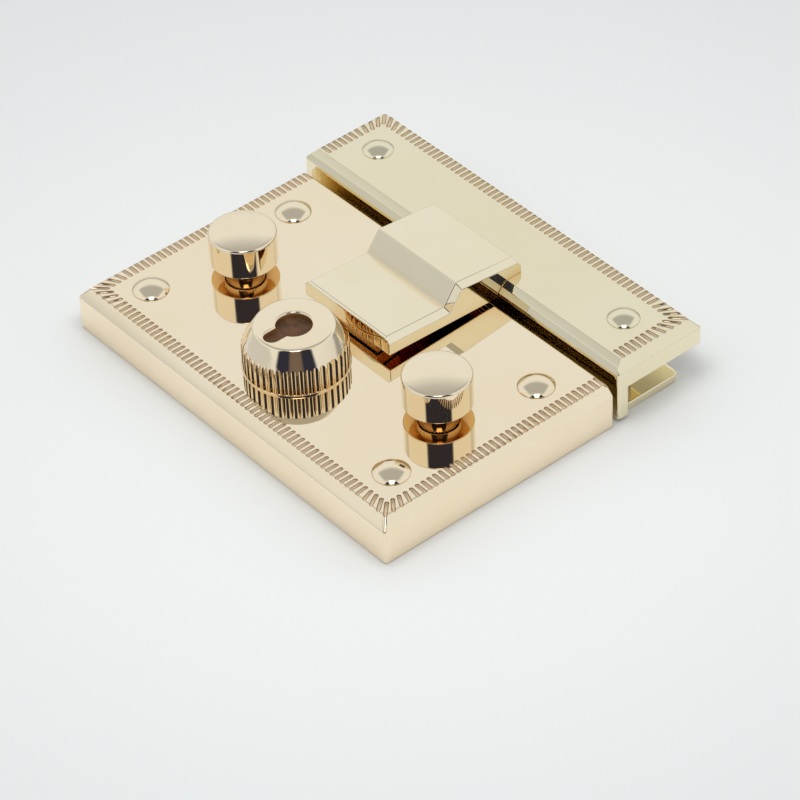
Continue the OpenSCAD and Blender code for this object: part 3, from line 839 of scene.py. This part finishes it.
hasp = {
    "gap": 1.0,  # above the lock plate at the nose
    "noseTall": 2.1,
    "fall": 0.5,
    "flat": 7.9,
    "slope": 1.7,
    "brow": 0.8,
    "browLip": 0.8,
    "rearThick": 2.05,
    "noseCut": 0.25,
    "chamfer": 0.65,
    "under": 0.4,  # above the lock plate at the rear
    "lapGap": 0.05,
    "edgeRound": 0.09,
    "edgeAngle": 12,
    "tenon": 0.7,
    "tenonX": 3.6,
    "tenonBack": 1.0,
    "tenonSink": 1.0,  # its top lies this far under the hasp's face
    "tenonSides": 32,
}


def chamferSides(bm, half, start, end):  # along both sides of a face that runs from start to end
    up = Vector((1, 0, 0)).cross((end - start).normalized())
    for side in (-1, 1):
        outwards = Vector((side, 0, 0))
        shave(bm, start + outwards * (half - hasp["chamfer"]), outwards + up)


def buildHasp():
    size = hasp
    low, high = boxOf("hasp")
    plateLow, plateHigh = boxOf("flap_plate")
    lockHigh = faceBox()[1]
    under = lockHigh.z + size["under"]
    breakY, breakZ = frontBreak(plateLow, plateHigh)
    tilt = size["fall"] / size["flat"]
    side = plateLow.y - size["lapGap"]
    nose = Vector((0, low.y, lockHigh.z + size["gap"] + size["noseTall"]))
    tail = Vector((0, side, nose.z - tilt * (side - nose.y)))
    crease = Vector((0, nose.y + size["flat"], nose.z - size["fall"]))
    crest = Vector((0, crease.y + size["slope"], high.z))
    foot = crease.lerp(crest, (nose.z - size["noseTall"] - crease.z) / (crest.z - crease.z))
    brow = Vector((0, high.y - size["brow"], plateHigh.z + size["rearThick"]))
    frontSection = [
        (nose.y, nose.z - size["noseTall"]),
        (tail.y, under),
        (tail.y, tail.z),
        (nose.y + size["noseCut"], nose.z - tilt * size["noseCut"]),
        (nose.y, nose.z - size["noseCut"]),
    ]
    rearSection = [
        (foot.y, foot.z),
        (side, under),
        (side, plateHigh.z - flapPlate["frontDrop"]),
        (breakY - size["lapGap"], breakZ),
        (plateLow.y + flapPlate["frontRun"], plateHigh.z),
        (high.y, plateHigh.z),
        (high.y, plateHigh.z + size["browLip"]),
        (brow.y, brow.z),
        (crest.y, crest.z),
    ]
    across = high.x - low.x
    front, rear = [
        extruded([(low.x, y, z) for y, z in section], Vector((1, 0, 0)), across)
        for section in (frontSection, rearSection)
    ]
    chamferSides(front, high.x, nose, tail)
    chamferSides(rear, high.x, foot, crest)
    chamferSides(rear, high.x, crest, brow)
    bm = carve(front, rear, "UNION")
    bmesh.ops.remove_doubles(bm, verts=bm.verts, dist=near)
    bmesh.ops.dissolve_limit(bm, angle_limit=math.radians(1), verts=bm.verts, edges=bm.edges)
    soften(bm, size["edgeRound"], 3, angle=size["edgeAngle"])
    tongueLow, tongueHigh = boxOf("catch_tongue")
    bm = carve(bm, block(Vector((tongueLow.x, tongueLow.y, under - past)), tongueHigh))
    tenonFoot = plateHigh.z - flapPlate["thick"]
    tenonTop = brow.z - size["tenonSink"]
    for x in (-size["tenonX"], size["tenonX"]):
        pin = rod(size["tenon"], x, high.y - size["tenonBack"], tenonFoot, tenonTop, size["tenonSides"])
        bm = carve(bm, pin, "UNION")
    return finishPiece("hasp_cast", bm, midGold, "flap", ["hasp"])


tongue = {"groove": 0.45, "lip": 0.25, "lead": 0.9, "edgeRound": 0.08}


def buildTongue():
    low, high = boxOf("catch_tongue")
    leafLow, leafHigh = boxOf("catch_spring")
    gap = lockPlate["windowGap"]
    bm = block(low, high)
    lip = leafLow.z - gap - tongue["lip"]
    shave(bm, (0, low.y, lip), (0, low.z - lip, -tongue["lead"]))
    groove = Vector((low.x - past, low.y - past, leafLow.z - gap))
    bm = carve(bm, block(groove, Vector((high.x + past, low.y + tongue["groove"], leafHigh.z + gap))))
    soften(bm, tongue["edgeRound"], 2)
    return finishPiece("catch_tongue_steel", bm, steel, "flap", ["catch_tongue"])


backing = {"corner": 0.8, "edgeRound": 0.16, "edgeAngle": 60}


def buildBacking():
    low, high = boxOf("backing_plate")
    bm = block(low, high)
    soften(bm, backing["corner"], 6, upright)
    soften(bm, backing["edgeRound"], 3, lambda edge: not upright(edge), backing["edgeAngle"])
    screws = cornersOf("backing_screws", screw["headRound"])
    tools = [countersink(x, y, low.z, high.z - low.z) for x, y in screws]
    return finishPiece("backing_plate_cast", carve(bm, joined(tools)), greenGold, "flap", ["backing_plate"])


buildLockPlate()
buildRivets("lock_plate_rivet_heads", "lock_plate_rivets", "lock")
buildBackPlate()
buildScrews("back_plate_screw_set", "back_plate_screws", "lock")
for side in ("left", "right"):
    buildButton(side)
    buildSpring(side)
buildCap()
buildFlapPlate()
buildRivets("flap_rivet_heads", "flap_rivets", "flap")
buildHasp()
buildTongue()
buildBacking()
buildScrews("backing_screw_set", "backing_screws", "flap")

for name in ("left_button_clip", "right_button_clip", "catch_spring", "cap_washer", "cap_screw"):
    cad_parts[name].data.materials.clear()
    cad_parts[name].data.materials.append(steel)
print("inner pieces keep their shape")


# floor, light and camera

studio = {
    "floorWide": 3.0,
    "floorDrop": 0.00003,
    "floorTone": (0.894, 0.901, 0.870),
    "floorMirrored": (0.965, 0.965, 0.955),  # as the polished sides show it
    "floorPolish": 0.22,
    "floorShine": 0.4,
    "backdrop": (0.84, 0.865, 0.875),
    "tint": (0.899, 0.922, 0.955),
    "bounces": 24,  # light goes to and fro in the gaps between polished faces
}


def buildFloor():
    bm = bmesh.new()
    bmesh.ops.create_grid(bm, x_segments=1, y_segments=1, size=studio["floorWide"])
    moved(bm, (0, 0, -studio["floorDrop"]))
    mesh = bpy.data.meshes.new("floor")
    bm.to_mesh(mesh)
    bm.free()
    finish, wire = newFinish("pale_table")
    mirrored = wire.node("LightPath", out="Is Glossy Ray")
    tone = mirrored.blend(rgba(studio["floorTone"]), rgba(studio["floorMirrored"]))
    sockets = {"Base Color": tone, "Roughness": studio["floorPolish"]}
    sockets["Specular IOR Level"] = studio["floorShine"]
    skin = wire.node("BsdfPrincipled", None, sockets)
    wire.node("OutputMaterial", None, {"Surface": skin})
    mesh.materials.append(finish)
    floor = bpy.data.objects.new("floor", mesh)
    bpy.context.scene.collection.objects.link(floor)


photoView = {
    "azimuth": 51.57,
    "elevation": 40.84,
    "roll": -2.88,
    "distance": 0.4049,
    "right": 0.001304,
    "up": -0.005311,
    "focal": 3875.3,  # pixels, on an image 800 pixels wide
    "imageWide": 800,
    "sensor": 36.0,
    "clip": (0.01, 20.0),
}


def viewAxes(azimuth, elevation):
    a, e = math.radians(azimuth), math.radians(elevation)
    back = Vector((math.sin(a) * math.cos(e), -math.cos(a) * math.cos(e), math.sin(e)))
    right = Vector((math.cos(a), math.sin(a), 0))
    return right, back.cross(right), back


def buildCamera():
    right, up, back = viewAxes(photoView["azimuth"], photoView["elevation"])
    roll = Matrix.Rotation(math.radians(photoView["roll"]), 3, back)
    right, up = roll @ right, roll @ up
    place = back * photoView["distance"] + right * photoView["right"] + up * photoView["up"]
    data = bpy.data.cameras.new("camera")
    data.sensor_width = photoView["sensor"]
    data.lens = photoView["focal"] / photoView["imageWide"] * data.sensor_width
    data.clip_start, data.clip_end = photoView["clip"]
    camera = bpy.data.objects.new("camera", data)
    axes = Matrix((right, up, back)).transposed().to_4x4()
    camera.matrix_world = Matrix.Translation(place) @ axes
    bpy.context.scene.collection.objects.link(camera)
    bpy.context.scene.camera = camera


tent = {
    "levels": (  # from straight down, 0, to straight up, 1
        (0.0, 0.80),
        (0.49, 0.80),
        (0.50, 0.40),
        (0.54, 0.40),
        (0.565, 0.86),
        (0.70, 0.98),
        (1.0, 0.98),
    ),
    "roofFrom": (0.05, 0.1),
    "wing": {
        "azimuth": -38,
        "half": 34,
        "blur": 10,
        "low": -4,
        "top": 19.5,
        "soft": 1.5,
        "tone": (0.66, 0.68, 0.72),
    },
    "door": {
        "azimuth": photoView["azimuth"],
        "half": 42,
        "blur": 4,
        "low": 18,
        "top": 62,
        "soft": 0.8,
        "tone": (0.032, 0.033, 0.060),
    },
    "slit": {
        "azimuth": photoView["azimuth"],
        "half": 13,
        "blur": 5,
        "low": 16,
        "top": 36,
        "soft": 3,
        "tone": (0.19, 0.14, 0.115),
    },
    "ceiling": {
        "far": -0.75,
        "fade": 0.30,
        "near": 0.34,
        "half": 0.68,
        "taper": 0.5,
        "soft": 0.13,
        "tone": (0.48, 0.495, 0.52),
    },
    "lamp": {
        "far": 0.36,
        "fade": 0.05,
        "near": 0.84,
        "half": 0.18,
        "taper": 0.0,
        "soft": 0.05,
        "tone": (3.0, 3.0, 3.1),
    },
}


def alongAxis(ray, axis):
    return ray.node("VectorMath", {"operation": "DOT_PRODUCT"}, {0: ray, 1: axis}, out="Value")


def wallPatch(ray, height, look):  # 1 inside a patch of the tent's wall, set in degrees
    along = alongAxis(ray, viewAxes(look["azimuth"], 0)[2])
    half, blur = math.radians(look["half"]), math.radians(look["blur"])
    low, top, soft = [math.radians(look[name]) for name in ("low", "top", "soft")]
    bearing = along / (1 - height * height) ** 0.5
    across = bearing.ease(math.cos(half + blur), math.cos(half - blur))
    return across * height.ease(math.sin(low - soft), math.sin(low + soft)) * (
        1 - height.ease(math.sin(top - soft), math.sin(top + soft))
    )


def roofPatch(ray, height, look):  # the same for its roof, set in shares of its height
    right, up, back = viewAxes(photoView["azimuth"], 0)
    aside = alongAxis(ray, right) / height
    toward = alongAxis(ray, back) / height
    soft = look["soft"]
    width = aside.math("ABSOLUTE", aside) + look["taper"] * toward
    depth = toward.ease(look["far"] - look["fade"], look["far"] + look["fade"])
    depth = depth * (1 - toward.ease(look["near"] - soft, look["near"] + soft))
    inside = depth * (1 - width.ease(look["half"] - soft, look["half"] + soft))
    return inside * height.ease(*tent["roofFrom"])


def buildWorld():
    world = bpy.data.worlds.new("tent")
    world.use_nodes = True
    world.node_tree.nodes.clear()
    bpy.context.scene.world = world
    wire = Wire(world.node_tree)
    ray = wire.node("TexCoord", out="Object")
    height = wire.node("SeparateXYZ", None, {"Vector": ray}, out="Z")
    levels = [(place, [level * part for part in studio["tint"]]) for place, level in tent["levels"]]
    lit = wire.node("ValToRGB", {"stops": levels}, {"Fac": height * 0.5 + 0.5})
    for name in ("wing", "door", "slit"):
        lit = wallPatch(ray, height, tent[name]).blend(lit, rgba(tent[name]["tone"]))
    for name in ("ceiling", "lamp"):
        lit = roofPatch(ray, height, tent[name]).blend(lit, rgba(tent[name]["tone"]))
    path = wire.node("LightPath", out="Is Camera Ray")
    seen = path.blend(lit, rgba(studio["backdrop"]))
    back = wire.node("Background", None, {"Color": seen})
    wire.node("OutputWorld", None, {"Surface": back})


fill = {"azimuth": photoView["azimuth"], "elevation": 82, "distance": 0.115, "size": 0.06, "power": 0.047}


def buildFill():  # a soft lamp for the table, kept out of the mirror-bright metal
    data = bpy.data.lights.new("fill", "AREA")
    data.shape = "SQUARE"
    data.size = fill["size"]
    data.energy = fill["power"]
    lamp = bpy.data.objects.new("fill", data)
    right, up, back = viewAxes(fill["azimuth"], fill["elevation"])
    axes = Matrix((right, up, back)).transposed().to_4x4()
    lamp.matrix_world = Matrix.Translation(back * fill["distance"]) @ axes
    lamp.visible_glossy = False
    bpy.context.scene.collection.objects.link(lamp)


buildFloor()
buildCamera()
buildWorld()
buildFill()
bpy.context.scene.view_settings.view_transform = "Standard"
bpy.context.scene.cycles.max_bounces = studio["bounces"]
bpy.context.scene.cycles.glossy_bounces = studio["bounces"]
print("stage, light and camera")
